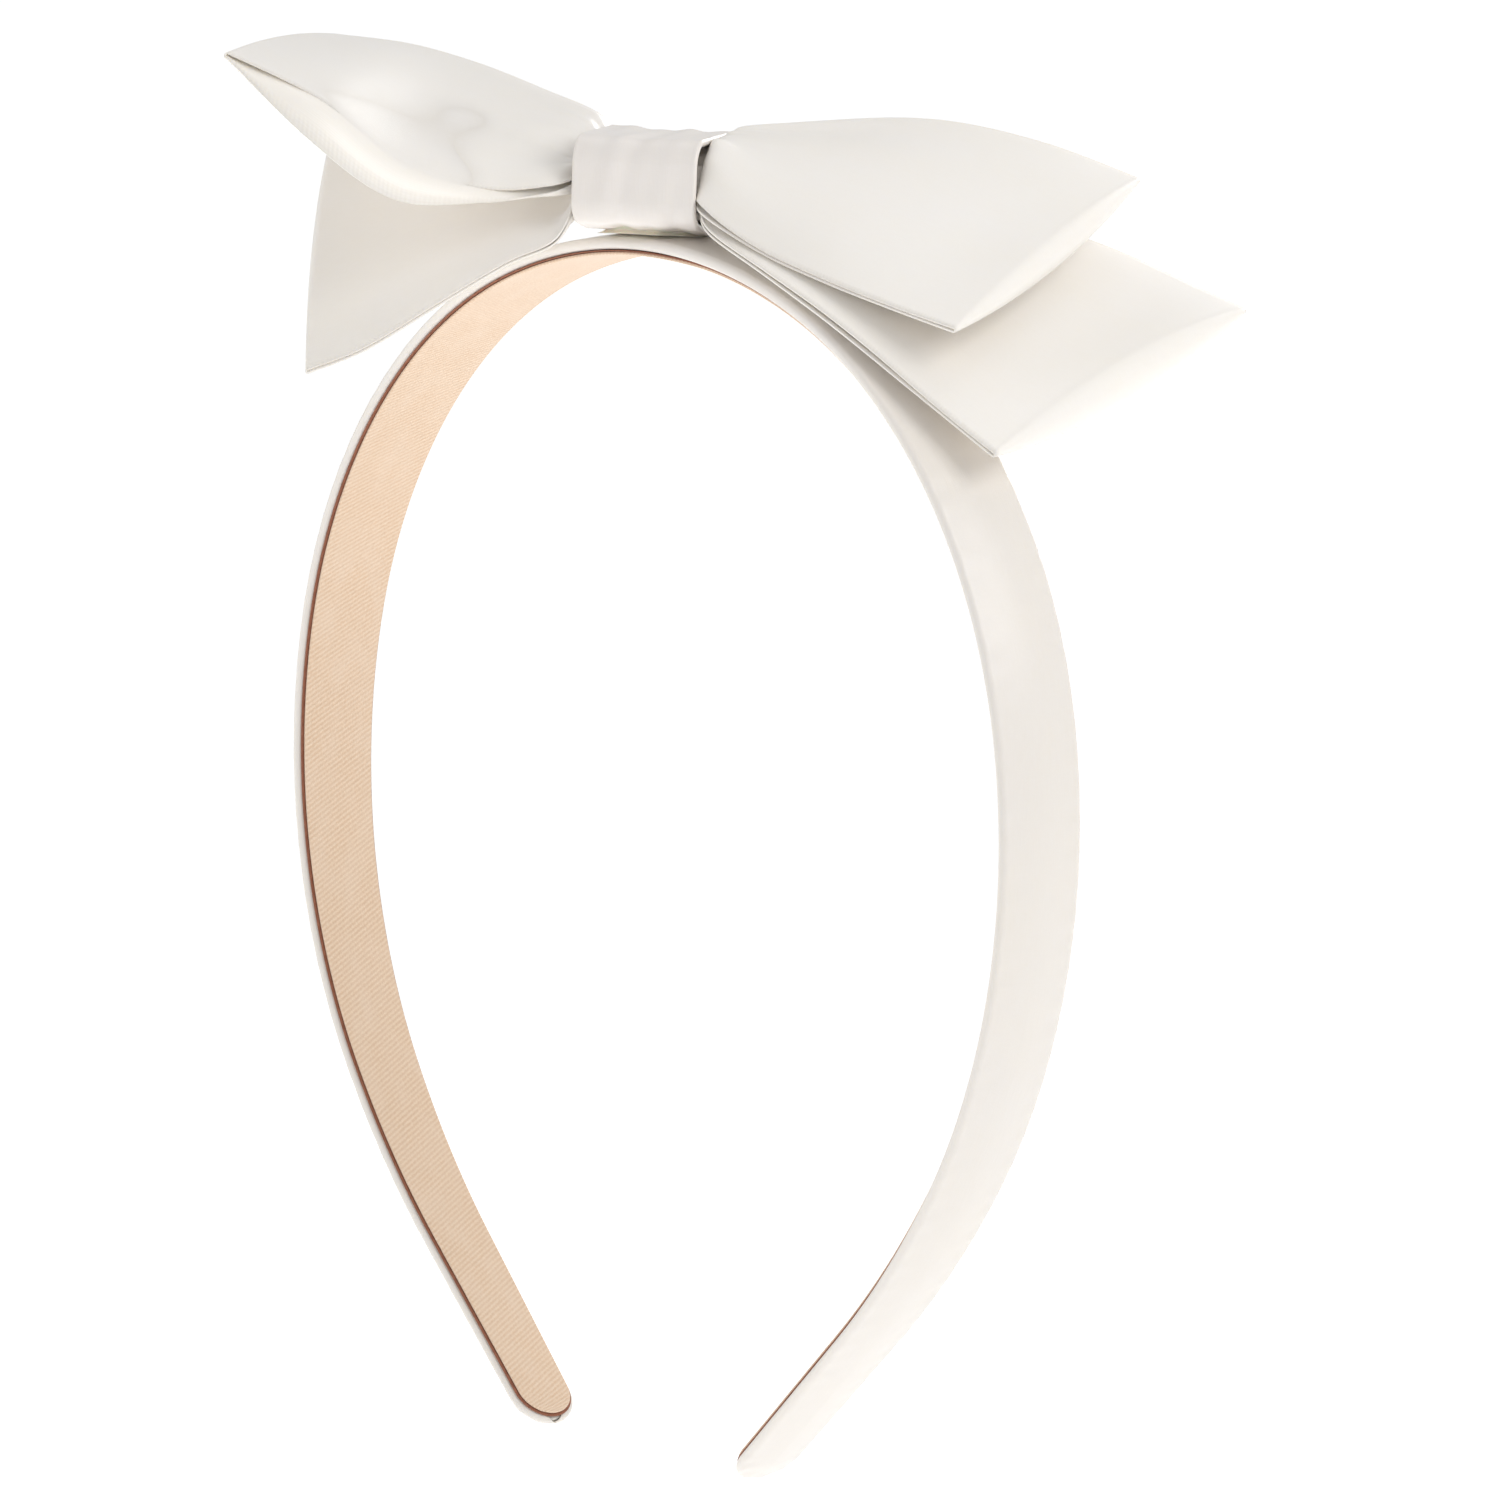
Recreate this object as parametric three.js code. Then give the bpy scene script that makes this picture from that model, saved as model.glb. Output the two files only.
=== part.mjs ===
// Knotted headband: a stiff U band, covered in satin and lined, with a double ribbon bow on its crown.
// Millimetres, +Z up. X runs from ear to ear, Y from the front of the head to the back.
// The origin is the middle of the lining at the crown, where the band rests on the head.
import * as THREE from 'three';
import { LoftGeometry } from 'three/addons/geometries/LoftGeometry.js';

// The band's inner line: arcs that follow one another from the crown down, then a straight tip.
const CROWN_RADIUS = 71.3;
const TEMPLE_RADIUS = 58.7;
const CHEEK_RADIUS = 69.6;
const LOWER_RADIUS = 104;
const CROWN_SWEEP = 21.3; // degrees, like the three below
const TEMPLE_SWEEP = 57.7;
const CHEEK_SWEEP = 44.2;
const LOWER_SWEEP = 13.1;
const TIP_LENGTH = 26.9;

// The band's widths and its layers, from the head outwards.
const WIDTH_CROWN = 12.8;
const WIDTH_TIP = 8.4;
const WIDTH_EASING = 1.6; // how late along the band it narrows
const LINING_THICK = 0.35;
const LINING_INSET = 0.35;
const BACKING_THICK = 0.15;
const BACKING_INSET = 0.15;
const CORE_THICK_CROWN = 0.9;
const CORE_THICK_TIP = 0.7;
const CORE_DOME = 0.45;
const CORE_EDGE_RADIUS = 0.3;
const SATIN_THICK = 0.2;
const TURN_IN = 2.4; // how far the satin is folded under the core
const LAYER_GAP = 0.06;
const STATION_SPACING = 8;

// The bow: where it sits on the crown, and the ribbon that it is folded from.
const BOW_X = -3.6;
const BOW_Y = -2.7;
const BOW_YAW = 35.5; // degrees
const BOW_STAND_OFF = 2;
const RIBBON_WIDTH = 50;
const FOLD_THICK = 2.4;
const WAIST_DEPTH = 16;
const WAIST_THICK = 3.4; // one loop's gathered layers
const SOFT_GAP = 0.3;
const WRAP_WIDTH = 14.4;
const WRAP_THICK = 0.8;
const WRAP_CORNER = 3.2;
const WAIST_CORNER = 1.6; // how far the loops' outer corners are rounded off inside the wrap
const THREAD_THICK = 0.5;
const THREAD_TURNS = 3;
const THREAD_PITCH = 0.65;
const PAD_LENGTH = 10;
const PAD_WIDTH = 7;
const PAD_CORNER = 2;
const PAD_GAP = 0.1;

// Each lobe ends in a fold. reach is how far out the fold's middle is, and swing how far it lies to the
// back. skew and roll turn the fold so that its back corner is further out or higher, as shares of the
// ribbon's half width. over is the lower fold's height over the band below it, and apart the upper
// fold's height over the lower one. Halfway out, the front and back edges rise by front and back, the
// cloth arches between them by arch, and the two layers gape.
const LOWER_LOOP = {
  right: {
    reach: 56.8, swing: -8.5, skew: 0.28, roll: 0.252, over: 5.5,
    front: 0.6, back: 2.4, arch: 3, gape: -0.5,
  },
  left: {
    reach: 39.8, swing: -2, skew: 0.232, roll: 0.456, over: 5,
    front: -1.2, back: -1, arch: 1.5, gape: 2.5,
  },
};
const UPPER_LOOP = {
  right: {
    reach: 46.8, swing: -5, skew: 0.152, roll: 0.268, apart: 13.6,
    front: 0.2, back: 3.6, arch: 3.2, gape: 0.4,
  },
  left: {
    reach: 45, swing: 0, skew: 0.06, roll: -0.016, apart: 22.7,
    front: -5.6, back: 2, arch: 1.5, gape: 4,
  },
};

const { degToRad, lerp } = THREE.MathUtils;
const ARCS = [
  [CROWN_RADIUS, degToRad(CROWN_SWEEP)],
  [TEMPLE_RADIUS, degToRad(TEMPLE_SWEEP)],
  [CHEEK_RADIUS, degToRad(CHEEK_SWEEP)],
  [LOWER_RADIUS, degToRad(LOWER_SWEEP)],
];
const CURVED_LENGTH = ARCS.reduce((sum, [radius, sweep]) => sum + radius * sweep, 0);
const HALF_LENGTH = CURVED_LENGTH + TIP_LENGTH;

// Heights of the layers over the inner line.
const BACKING_BASE = LINING_THICK + LAYER_GAP;
const COVER_BASE = BACKING_BASE + BACKING_THICK + LAYER_GAP;
const CORE_BASE = COVER_BASE + SATIN_THICK + LAYER_GAP;
const CROWN_TOP = CORE_BASE + CORE_THICK_CROWN + CORE_DOME + LAYER_GAP + SATIN_THICK;
const COVER_WALL = SATIN_THICK + LAYER_GAP;

// The waist: two loops, one on the other, inside the wrap.
const LOOP_LIFT = (WAIST_THICK + SOFT_GAP) / 2;
const WRAP_INNER_HEIGHT = 2 * WAIST_THICK + 3 * SOFT_GAP;
const WRAP_INNER_DEPTH = WAIST_DEPTH + 2 * SOFT_GAP;
const WAIST_HEIGHT = CROWN_TOP + BOW_STAND_OFF + WRAP_THICK + WRAP_INNER_HEIGHT / 2;

// A place on the band: along it from the crown, across it, and out from the inner line.
function bandPoint(along, across, out) {
  const side = along < 0 ? -1 : 1;
  let rest = Math.abs(along);
  let angle = 0;
  let x = 0;
  let z = 0;
  for (const [radius, sweep] of ARCS) {
    const turn = Math.min(rest / radius, sweep);
    x += radius * (Math.sin(angle + turn) - Math.sin(angle));
    z += radius * (Math.cos(angle + turn) - Math.cos(angle));
    angle += turn;
    rest -= turn * radius;
  }
  x += rest * Math.cos(angle) + out * Math.sin(angle);
  z += out * Math.cos(angle) - rest * Math.sin(angle);
  return new THREE.Vector3(side * x, across, z);
}

// The height of the satin's top where the band passes x, above the widest part of the arms.
function coverTop(x) {
  let near = 0;
  let far = CURVED_LENGTH / 2;
  for (let i = 0; i < 30; i += 1) {
    const middle = (near + far) / 2;
    if (bandPoint(middle, 0, CROWN_TOP).x < Math.abs(x)) near = middle;
    else far = middle;
  }
  return bandPoint(near, 0, CROWN_TOP).z;
}

// The height of a lower lobe's fold over the waist.
function foldLift({ reach, swing, over }, side) {
  const yaw = degToRad(BOW_YAW);
  const x = BOW_X + side * reach * Math.cos(yaw) - swing * Math.sin(yaw);
  return coverTop(x) + over - WAIST_HEIGHT;
}

// Stations along a layer whose outline lies inset from the band's: even steps round the arcs, then a
// rounded tip. Each has its place along the band and the layer's half width there.
function stations(inset) {
  const width = (along) => lerp(WIDTH_CROWN, WIDTH_TIP, (along / HALF_LENGTH) ** WIDTH_EASING) / 2 - inset;
  const steps = Math.ceil(CURVED_LENGTH / STATION_SPACING);
  const half = [];
  for (let i = 1; i <= steps; i += 1) {
    const along = (CURVED_LENGTH * i) / steps;
    half.push({ along, halfWidth: width(along) });
  }
  const tipRadius = WIDTH_TIP / 2 - inset;
  for (const angle of [0, 25, 48, 68].map(degToRad)) {
    const along = HALF_LENGTH - inset - tipRadius * (1 - Math.sin(angle));
    half.push({ along, halfWidth: width(along) * Math.cos(angle) });
  }
  const mirrored = half.map(({ along, halfWidth }) => ({ along: -along, halfWidth })).reverse();
  return [...mirrored, { along: 0, halfWidth: width(0) }, ...half];
}

// A band layer, lofted through a section at each station. A section is a list of [across, out].
function bandLayer(inset, section) {
  const sections = stations(inset).map(({ along, halfWidth }) =>
    section(halfWidth, along).map(([across, out]) => bandPoint(along, across, out)));
  return new LoftGeometry(sections, { capStart: true, capEnd: true });
}

function stripSection(base, thick) {
  return (halfWidth) => [
    [-halfWidth, base],
    [halfWidth, base],
    [halfWidth, base + thick],
    [-halfWidth, base + thick],
  ];
}

// The core's outer side from its front lower edge to its back one, moved outwards by grow.
function domedSide(halfWidth, along, grow) {
  const thick = lerp(CORE_THICK_CROWN, CORE_THICK_TIP, Math.abs(along) / HALF_LENGTH);
  const edge = Math.min(CORE_EDGE_RADIUS, halfWidth / 4);
  const front = [
    [-(halfWidth + grow), CORE_BASE + edge * 0.5],
    [-(halfWidth + grow), CORE_BASE + thick - edge],
    [-(halfWidth - edge + grow * 0.7), CORE_BASE + thick + grow * 0.7],
    [-halfWidth * 0.5, CORE_BASE + thick + CORE_DOME * 0.75 + grow],
  ];
  const back = front.map(([across, out]) => [-across, out]).reverse();
  return [...front, [0, CORE_BASE + thick + CORE_DOME + grow], ...back];
}

function coreSection(halfWidth, along) {
  const under = halfWidth - CORE_EDGE_RADIUS * 0.4;
  return [[-under, CORE_BASE], ...domedSide(halfWidth, along, 0), [under, CORE_BASE]].reverse();
}

// The satin lies over the core's outer side and is folded under both of its edges.
function coverSection(halfWidth, along) {
  const coreHalf = halfWidth - COVER_WALL;
  const hem = Math.max(coreHalf - TURN_IN, coreHalf * 0.4);
  const path = (grow) => {
    const under = coreHalf - CORE_EDGE_RADIUS * 0.4 + grow * 0.4;
    return [
      [-hem, CORE_BASE - grow],
      [-under, CORE_BASE - grow],
      ...domedSide(coreHalf, along, grow),
      [under, CORE_BASE - grow],
      [hem, CORE_BASE - grow],
    ];
  };
  return [...path(LAYER_GAP), ...path(COVER_WALL).reverse()];
}

// A place on a lobe: share of the way from the waist to the fold, across the ribbon from -1 at the
// front edge to 1 at the back, and the upper or lower layer.
function lobePoint(lobe, side, loopRise, share, across, layer) {
  const endHalf = (RIBBON_WIDTH / 2) * Math.sqrt(1 - lobe.skew ** 2 - lobe.roll ** 2);
  const half = lerp(WAIST_DEPTH / 2, endHalf, Math.sin((share * Math.PI) / 2));
  const turned = (across * RIBBON_WIDTH) / 2;
  const middle = 4 * share * (1 - share);
  const sag = lerp(lobe.front, lobe.back, (across + 1) / 2) + lobe.arch * (1 - across ** 2);
  const gape = lerp(WAIST_THICK, FOLD_THICK, share) + middle * lobe.gape * (1 - 0.5 * across ** 2);
  const outer = layer * loopRise > 0 && Math.abs(across) === 1;
  const corner = outer ? Math.sign(loopRise) * WAIST_CORNER * (1 - share) ** 2 : 0;
  return new THREE.Vector3(
    side * lerp(WRAP_WIDTH / 2, lobe.reach + turned * lobe.skew, share),
    lobe.swing * share + across * half,
    lerp(loopRise, lobe.lift + turned * lobe.roll, share) + middle * sag + (layer * gape) / 2 - corner,
  );
}

const RIGHT = 1;
const LEFT = -1;
const ACROSS = [-1, -0.6, -0.2, 0.2, 0.6, 1];
const SHARES = [0, 0.1, 0.25, 0.45, 0.65, 0.85, 0.96];
const FOLD_NOSE = 0.45; // the fold's thickness at its very end, as a share of the lobe's

// The waist is drawn in a little where the thread is wound round it.
function pinchedSection(u, loopRise) {
  const drawn = THREAD_THICK + SOFT_GAP;
  const upwards = Math.sign(loopRise);
  const inner = loopRise - (upwards * WAIST_THICK) / 2;
  const outer = loopRise + upwards * (WAIST_THICK / 2 - drawn);
  const corner = (across) => (Math.abs(across) === 1 ? upwards * WAIST_CORNER : 0);
  const place = (across, rise) => new THREE.Vector3(u, across * (WAIST_DEPTH / 2 - drawn), rise);
  const outerSide = ACROSS.map((across) => place(across, outer - corner(across)));
  const innerSide = ACROSS.map((across) => place(across, inner));
  return upwards > 0 ? [...outerSide, ...innerSide.reverse()] : [...innerSide, ...outerSide.reverse()];
}

function bowLoop(left, right, loopRise) {
  const lobeSections = (lobe, side) => {
    const section = (share, squeeze) => [
      ...ACROSS.map((across) => lobePoint(lobe, side, loopRise, share, across, squeeze)),
      ...[...ACROSS].reverse().map((across) => lobePoint(lobe, side, loopRise, share, across, -squeeze)),
    ];
    return [...SHARES.map((share) => section(share, 1)), section(1, FOLD_NOSE)];
  };
  const threadHalf = (THREAD_TURNS * THREAD_PITCH + THREAD_THICK) / 2 + SOFT_GAP;
  const sections = [
    ...lobeSections(left, LEFT).reverse(),
    pinchedSection(-threadHalf, loopRise),
    pinchedSection(threadHalf, loopRise),
    ...lobeSections(right, RIGHT),
  ];
  return new LoftGeometry(sections.map((section) => section.reverse()), { capStart: true, capEnd: true });
}

function roundedOblong(width, height, corner, Kind = THREE.Shape) {
  const x = width / 2 - corner;
  const y = height / 2 - corner;
  return new Kind()
    .absarc(x, y, corner, 0, Math.PI / 2)
    .absarc(-x, y, corner, Math.PI / 2, Math.PI)
    .absarc(-x, -y, corner, Math.PI, Math.PI * 1.5)
    .absarc(x, -y, corner, Math.PI * 1.5, Math.PI * 2)
    .closePath();
}

// The wrap is a closed strip of satin round both waists; its section is drawn in Y and Z.
function knotWrap() {
  const depth = WRAP_INNER_DEPTH + 2 * WRAP_THICK;
  const height = WRAP_INNER_HEIGHT + 2 * WRAP_THICK;
  const shape = roundedOblong(depth, height, WRAP_CORNER);
  const innerCorner = WRAP_CORNER - WRAP_THICK;
  shape.holes.push(roundedOblong(WRAP_INNER_DEPTH, WRAP_INNER_HEIGHT, innerCorner, THREE.Path));
  const geometry = new THREE.ExtrudeGeometry(shape, { depth: WRAP_WIDTH, bevelEnabled: false, curveSegments: 5 });
  geometry.translate(0, 0, -WRAP_WIDTH / 2);
  const [x, y, z] = [0, 1, 2].map((axis) => new THREE.Vector3().setComponent(axis, 1));
  return geometry.applyMatrix4(new THREE.Matrix4().makeBasis(y, z, x));
}

function gatheringThread() {
  const drawn = THREAD_THICK + SOFT_GAP;
  const margin = SOFT_GAP / 2 + THREAD_THICK / 2;
  const width = WAIST_DEPTH + 2 * (margin - drawn);
  const height = WRAP_INNER_HEIGHT - SOFT_GAP * 2 + 2 * (margin - drawn);
  const corner = WRAP_CORNER - WRAP_THICK - SOFT_GAP;
  const turn = roundedOblong(width, height, corner).getSpacedPoints(20).slice(1);
  const points = [];
  for (let i = 0; i < THREAD_TURNS * turn.length; i += 1) {
    const { x, y } = turn[i % turn.length];
    points.push(new THREE.Vector3((i / turn.length - THREAD_TURNS / 2) * THREAD_PITCH, x, y));
  }
  const section = new THREE.Shape().absarc(0, 0, THREAD_THICK / 2, 0, Math.PI * 2);
  const extrudePath = new THREE.CatmullRomCurve3(points, false, 'centripetal');
  return new THREE.ExtrudeGeometry(section, { steps: points.length * 2, extrudePath, curveSegments: 3 });
}

// Hot glue between the crown and the underside of the wrap.
function gluePad() {
  const shape = roundedOblong(PAD_LENGTH, PAD_WIDTH, PAD_CORNER);
  const depth = BOW_STAND_OFF - 2 * PAD_GAP;
  const geometry = new THREE.ExtrudeGeometry(shape, { depth, bevelEnabled: false, curveSegments: 3 });
  return geometry.translate(0, 0, CROWN_TOP + PAD_GAP - WAIST_HEIGHT);
}

function piece(name, geometry, color, roughness) {
  const material = new THREE.MeshStandardMaterial({ color, roughness, metalness: 0 });
  const mesh = new THREE.Mesh(geometry, material);
  mesh.name = name;
  return mesh;
}

const lowerRight = { ...LOWER_LOOP.right, lift: foldLift(LOWER_LOOP.right, RIGHT) };
const lowerLeft = { ...LOWER_LOOP.left, lift: foldLift(LOWER_LOOP.left, LEFT) };
const upperRight = { ...UPPER_LOOP.right, lift: lowerRight.lift + UPPER_LOOP.right.apart };
const upperLeft = { ...UPPER_LOOP.left, lift: lowerLeft.lift + UPPER_LOOP.left.apart };

const IVORY = 0xf2eee4;
const headband = new THREE.Group();
headband.add(
  piece('band_core', bandLayer(COVER_WALL, coreSection), 0xe9e6df, 0.45),
  piece('satin_cover', bandLayer(0, coverSection), IVORY, 0.35),
  piece('lining_backing', bandLayer(BACKING_INSET, stripSection(BACKING_BASE, BACKING_THICK)), 0x8f5a48, 0.7),
  piece('lining_tape', bandLayer(LINING_INSET, stripSection(0, LINING_THICK)), 0xe8cfae, 0.9),
);

const bow = new THREE.Group();
bow.position.set(BOW_X, BOW_Y, WAIST_HEIGHT);
bow.rotation.z = degToRad(BOW_YAW);
bow.add(
  piece('bow_upper_loop', bowLoop(upperLeft, upperRight, LOOP_LIFT), IVORY, 0.35),
  piece('bow_lower_loop', bowLoop(lowerLeft, lowerRight, -LOOP_LIFT), IVORY, 0.35),
  piece('knot_wrap', knotWrap(), IVORY, 0.35),
  piece('gathering_thread', gatheringThread(), 0xf4f1ea, 0.6),
  piece('glue_pad', gluePad(), 0xf3ead2, 0.5),
);
headband.add(bow);

export default headband;
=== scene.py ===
"""Knotted headband: a satin-covered U band, lined with brushed tape, and a double ribbon bow on its crown."""
import math

import bmesh
import bpy
import numpy as np
from mathutils import Matrix, Vector


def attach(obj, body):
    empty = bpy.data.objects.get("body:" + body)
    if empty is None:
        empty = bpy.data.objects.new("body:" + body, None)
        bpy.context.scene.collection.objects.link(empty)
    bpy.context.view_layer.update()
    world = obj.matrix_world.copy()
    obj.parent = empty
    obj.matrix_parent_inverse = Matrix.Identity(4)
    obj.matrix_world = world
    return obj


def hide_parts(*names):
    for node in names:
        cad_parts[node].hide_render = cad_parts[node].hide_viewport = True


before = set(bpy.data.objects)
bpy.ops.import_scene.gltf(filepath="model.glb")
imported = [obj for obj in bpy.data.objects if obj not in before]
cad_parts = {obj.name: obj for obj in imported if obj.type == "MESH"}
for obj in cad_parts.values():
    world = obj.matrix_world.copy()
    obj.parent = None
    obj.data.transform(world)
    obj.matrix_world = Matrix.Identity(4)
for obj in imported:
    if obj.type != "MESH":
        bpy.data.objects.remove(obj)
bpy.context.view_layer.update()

MM = 0.001  # the shapes below are worked out in millimetres
BODY = "root"

# The band's inner line: arcs from the crown down, as radius and sweep in degrees, then a straight tip.
ARCS = ((71.3, 21.3), (58.7, 57.7), (69.6, 44.2), (104.0, 13.1))
STRAIGHT_TIP = 26.9
HALF_LENGTH = sum(radius * math.radians(sweep) for radius, sweep in ARCS) + STRAIGHT_TIP
WIDTH_CROWN = 12.8
WIDTH_TIP = 8.4
WIDTH_EASING = 1.6
ROW_SPACING = 1.5
SATIN_ROW_SPACING = 0.3  # fine enough for the satin's puckers
TIP_ROWS = 30

# The layers, from the head outwards: heights over the inner line.
LINING_THICK = 0.35
BACKING_BASE = 0.41
BACKING_THICK = 0.15
COVER_BASE = 0.62
CORE_BASE = 0.88
CORE_TOP_CROWN = 1.78
CORE_TOP_TIP = 1.58
CORE_DOME = 0.45
COVER_WALL = 0.26
SATIN_THICK = 0.2
SATIN_EASE = 0.12  # how far the core keeps clear of the satin's ripples
TURN_IN = 2.4
CROWN_TOP = CORE_TOP_CROWN + CORE_DOME + COVER_WALL

# How far in from the band's outline the lining's two layers end, and how wide each rounded edge is.
BACKING_INSET = 0.45
LINING_INSET = 0.75
CORE_EDGE = 0.35
COVER_EDGE = 0.85
BACKING_EDGE = 0.06
LINING_EDGE = 0.14

# How far the lining is laid off the middle line: to the back on the right arm, to the front elsewhere.
LINING_STRAY = 0.52
LINING_OFFSET = 0.1

# The bow's place on the crown, and what it is made of.
BOW_PLACE = (-3.6, -2.7, 9.14)
BOW_YAW = math.radians(35.5)
RIBBON_WIDTH = 50.0
RIBBON_THICK = 0.22
WRAP_WIDTH = 14.4
WRAP_DEPTH = 18.2
WRAP_HEIGHT = 10.3
WRAP_SAG = 0.5
WRAP_CORNER = 3.2


# ---------------------------------------------------------------- meshes

COARSE_WELD = 0.00002  # metres
FINE_WELD = 1e-7


def smoothstep(low, high, value):
    share = np.clip((value - low) / (high - low), 0, 1)
    return share * share * (3 - 2 * share)


def bump_at(value, centre, width):
    """1 at the centre, falling to nothing a width or two away."""
    return np.exp(-((value - centre) / width) ** 2)


def curve_through(points, share):
    """A smooth curve through evenly spaced points, at each share of the way along it."""
    points = np.asarray(points, float)
    last = len(points) - 1
    place = np.clip(np.asarray(share, float), 0, 1) * last
    start = np.minimum(place.astype(int), last - 1)
    t = place - start
    before = points[np.maximum(start - 1, 0)]
    here = points[start]
    there = points[start + 1]
    after = points[np.minimum(start + 2, last)]
    if points.ndim > 1:
        t = t[..., None]
    return here + 0.5 * t * (
        there - before
        + t * (2 * before - 5 * here + 4 * there - after + t * (3 * (here - there) + after - before))
    )


def piece(name, places, faces, uvs=None):
    """A mesh from places in millimetres, with one UV for each place, also in millimetres."""
    mesh = bpy.data.meshes.new(name)
    mesh.from_pydata((np.asarray(places) * MM).tolist(), [], faces)
    if uvs is not None:
        layer = mesh.uv_layers.new(name="cloth")
        corners = np.empty(len(mesh.loops), int)
        mesh.loops.foreach_get("vertex_index", corners)
        layer.data.foreach_set("uv", np.asarray(uvs, np.float32)[corners].ravel())
    mesh.shade_smooth()
    made = bpy.data.objects.new(name, mesh)
    bpy.context.scene.collection.objects.link(made)
    return made


def grid_faces(rows, columns, close_rows=False, close_columns=False):
    faces = []
    for row in range(rows if close_rows else rows - 1):
        for column in range(columns if close_columns else columns - 1):
            next_row = (row + 1) % rows
            next_column = (column + 1) % columns
            faces.append((
                row * columns + column,
                row * columns + next_column,
                next_row * columns + next_column,
                next_row * columns + column,
            ))
    return faces


def weld(made, distance=COARSE_WELD):
    """Merges points that meet, and turns the faces outwards."""
    work = bmesh.new()
    work.from_mesh(made.data)
    bmesh.ops.remove_doubles(work, verts=work.verts, dist=distance)
    bmesh.ops.recalc_face_normals(work, faces=work.faces)
    work.to_mesh(made.data)
    work.free()
    made.data.shade_smooth()
    return made


def thicken(made, thickness, offset=0.0):
    solid = made.modifiers.new("cloth thickness", "SOLIDIFY")
    solid.thickness = thickness * MM
    solid.offset = offset


def rests(made, node, material):
    """The finished piece stands for its CAD node and takes its finish."""
    made.data.materials.append(material)
    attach(made, BODY)
    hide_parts(node)


# ---------------------------------------------------------------- the band

def band_point(along, across, out):
    """Places on the band: along it from the crown, across it, and out from the inner line."""
    along, across, out = np.broadcast_arrays(*(np.asarray(a, float) for a in (along, across, out)))
    rest = np.abs(along)
    angle = np.zeros_like(rest)
    x = np.zeros_like(rest)
    z = np.zeros_like(rest)
    for radius, sweep in ARCS:
        turn = np.minimum(rest / radius, math.radians(sweep))
        x = x + radius * (np.sin(angle + turn) - np.sin(angle))
        z = z + radius * (np.cos(angle + turn) - np.cos(angle))
        angle = angle + turn
        rest = rest - turn * radius
    x = x + rest * np.cos(angle) + out * np.sin(angle)
    z = z + out * np.cos(angle) - rest * np.sin(angle)
    return np.stack([np.where(along < 0, -x, x), across, z], axis=-1)


def half_width(along, inset=0.0):
    share = (np.abs(along) / HALF_LENGTH) ** WIDTH_EASING
    return (WIDTH_CROWN + (WIDTH_TIP - WIDTH_CROWN) * share) / 2 - inset


def band_rows(inset, spacing):
    """Rows along a layer whose outline lies inset from the band's, closer together round the tips."""
    radius = half_width(HALF_LENGTH - WIDTH_TIP / 2, inset)
    centre = HALF_LENGTH - inset - radius
    straight = np.linspace(0, centre, int(centre / spacing) + 1)
    angle = np.linspace(0, math.pi / 2, TIP_ROWS)[1:]
    tip = centre + radius * np.sin(angle)
    half = np.concatenate([straight, tip])
    wide = np.concatenate([half_width(straight, inset), radius * np.cos(angle)])
    along = np.concatenate([-half[:0:-1], half])
    return along, np.concatenate([wide[:0:-1], wide]), radius, centre


def to_outline(along, across, inset, radius, centre):
    """How far in from the layer's outline a place lies."""
    beyond = np.maximum(np.abs(along) - centre, 0)
    straight = half_width(along, inset) - np.abs(across)
    round_end = radius - np.hypot(beyond, across)
    return np.maximum(np.where(beyond > 0, round_end, straight), 0)


def hand_laid(along):
    """How far the lining strays to the back of the band's middle line."""
    on_right_arm = smoothstep(0, 11, along)
    back_in_line = 1 - 0.8 * smoothstep(120, 165, along)
    return LINING_STRAY * on_right_arm * back_in_line - LINING_OFFSET


def shell(name, inset, profile, heights, strays=False, spacing=ROW_SPACING):
    """A band layer as a grid. profile lists each column's side, distance in from the edge, and face."""
    along, wide, radius, centre = band_rows(inset, spacing)
    side = np.array([entry[0] for entry in profile], float)
    inwards = np.array([entry[1] for entry in profile], float)
    upper = np.array([entry[2] for entry in profile], float)
    full = np.maximum(half_width(along, inset), radius)
    share = np.clip(1 - inwards[None, :] / full[:, None], 0, 1)
    across = side[None, :] * wide[:, None] * share
    rows = np.broadcast_to(along[:, None], across.shape)
    distance = to_outline(rows, across, inset, radius, centre)
    out = heights(rows, across, distance, np.broadcast_to(upper[None, :], across.shape))
    places = band_point(rows, across + (hand_laid(rows) if strays else 0), out)
    step = np.linalg.norm(np.diff(places, axis=1), axis=2)
    run = np.concatenate([np.zeros((len(along), 1)), np.cumsum(step, axis=1)], axis=1)
    middle = run[:, -1:] / 2
    uvs = np.stack([rows, run - middle], axis=-1)
    closed = profile[0][0] == profile[-1][0]
    made = piece(
        name, places.reshape(-1, 3),
        grid_faces(len(along), len(profile), close_columns=closed), uvs.reshape(-1, 2),
    )
    return weld(made)


def edge_height(distance, edge, low, high):
    """Height over the middle of a rounded edge, as a share from 0 at the rim to 1 past the rounding."""
    inner = np.clip(1 - distance / edge, 0, 1)
    return low + (high - low) * np.sqrt(1 - inner ** 2.4)


EDGE_STEPS = (0.0, 0.03, 0.1, 0.22, 0.38, 0.58, 0.8, 1.0)
TOP_STEPS = (0.12, 0.26, 0.42, 0.6, 0.8)


def open_profile(edge, half, hem):
    """From the front hem underneath, round the edge, over the top and under to the back hem."""
    under = [hem, hem * 0.8, (hem + edge) / 2]
    rim = [edge * step for step in EDGE_STEPS]
    top = [edge + (half - edge) * step for step in TOP_STEPS]
    front = [(-1, d, 0) for d in under] + [(-1, d, 0) for d in rim[:0:-1]]
    front += [(-1, d, 1) for d in rim] + [(-1, d, 1) for d in top] + [(-1, half, 1)]
    back = [(1, d, upper) for _, d, upper in front[-2::-1]]
    return front + back


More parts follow.
